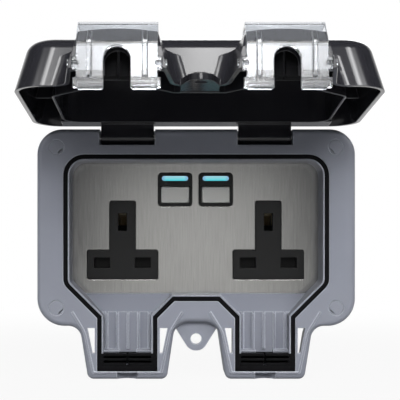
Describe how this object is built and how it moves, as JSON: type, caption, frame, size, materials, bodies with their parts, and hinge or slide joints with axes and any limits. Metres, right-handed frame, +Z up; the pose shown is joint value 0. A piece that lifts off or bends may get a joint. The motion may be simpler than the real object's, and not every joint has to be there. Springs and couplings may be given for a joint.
{
  "type": "outdoor weatherproof socket",
  "caption": "Weatherproof double wall socket: grey box with ribbed cable outlets, brushed steel socket front with push buttons, black hinged lid with clear latch clips.",
  "frame": {"origin": "middle of the back box's wall face, level with the middle of the socket front", "axes": "+X to the right as seen from the front, +Y into the wall, +Z up"},
  "size_m": [0.172, 0.192, 0.1693],
  "materials": {
    "grey_moulding": "fine spark texture, satin",
    "black_lid": "gloss moulded",
    "black_rubber": "matt",
    "clear_clip": "clear, slightly smoked",
    "brushed_plate": "brushed upright",
    "black_moulding": "satin",
    "button_grey": "satin",
    "light_turquoise": "lit",
    "contact_brass": "plain",
    "plated_steel": "zinc plated",
    "board_green": "lacquered",
    "module_white": "plain"
  },
  "bodies": {
    "base": {"back_box": "grey_moulding", "front_frame": "grey_moulding", "screw_caps": "grey_moulding", "box_seal": "black_rubber", "lid_gasket": "black_rubber", "frame_screws": "plated_steel", "yoke_screws": "plated_steel", "terminal_screws": "plated_steel", "face_plate": "brushed_plate", "socket_moulding": "black_moulding", "rear_housing": "module_white", "earth_bar": "contact_brass", "neutral_bar": "contact_brass", "terminal_posts": "contact_brass", "control_board": "board_green", "press_switches": "black_moulding", "cable_seal_left": "black_rubber", "hinge_pin_left": "plated_steel", "light_bar_left": "light_turquoise", "line_contact_left": "contact_brass", "relay_left": "black_moulding", "cable_seal_right": "black_rubber", "hinge_pin_right": "plated_steel", "light_bar_right": "light_turquoise", "line_contact_right": "contact_brass", "relay_right": "black_moulding"},
    "lid": {"lid_shell": "black_lid", "lid_cable_seal_left": "black_rubber", "lid_cable_seal_right": "black_rubber"},
    "clip_left": {"clip_left": "clear_clip"},
    "button_left": {"button_left": "button_grey"},
    "shutter_left": {"shutter_left": "black_moulding"},
    "clip_right": {"clip_right": "clear_clip"},
    "button_right": {"button_right": "button_grey"},
    "shutter_right": {"shutter_right": "black_moulding"}
  },
  "joints": [
    {"name": "lid_hinge", "type": "hinge", "parent": "base", "child": "lid", "pos_m": [0, -0.0576, 0.0475], "axis": [-1, 0, 0], "range_deg": [-95.4, 12]},
    {"name": "clip_left_hinge", "type": "hinge", "parent": "lid", "child": "clip_left", "pos_m": [-0.03635, -0.18867, 0.06993], "axis": [1, 0, 0], "range_deg": [0, 11]},
    {"name": "button_left_press", "type": "slide", "parent": "base", "child": "button_left", "axis": [0, 1, 0], "range_m": [0, 0.0012], "stiffness_N_per_m": 600},
    {"name": "shutter_left_slide", "type": "slide", "parent": "base", "child": "shutter_left", "axis": [0, 0, -1], "range_m": [0, 0.007], "stiffness_N_per_m": 120, "springref_m": -0.002},
    {"name": "clip_right_hinge", "type": "hinge", "parent": "lid", "child": "clip_right", "pos_m": [0.03635, -0.18867, 0.06993], "axis": [1, 0, 0], "range_deg": [0, 11]},
    {"name": "button_right_press", "type": "slide", "parent": "base", "child": "button_right", "axis": [0, 1, 0], "range_m": [0, 0.0012], "stiffness_N_per_m": 600},
    {"name": "shutter_right_slide", "type": "slide", "parent": "base", "child": "shutter_right", "axis": [0, 0, -1], "range_m": [0, 0.007], "stiffness_N_per_m": 120, "springref_m": -0.002}
  ]
}
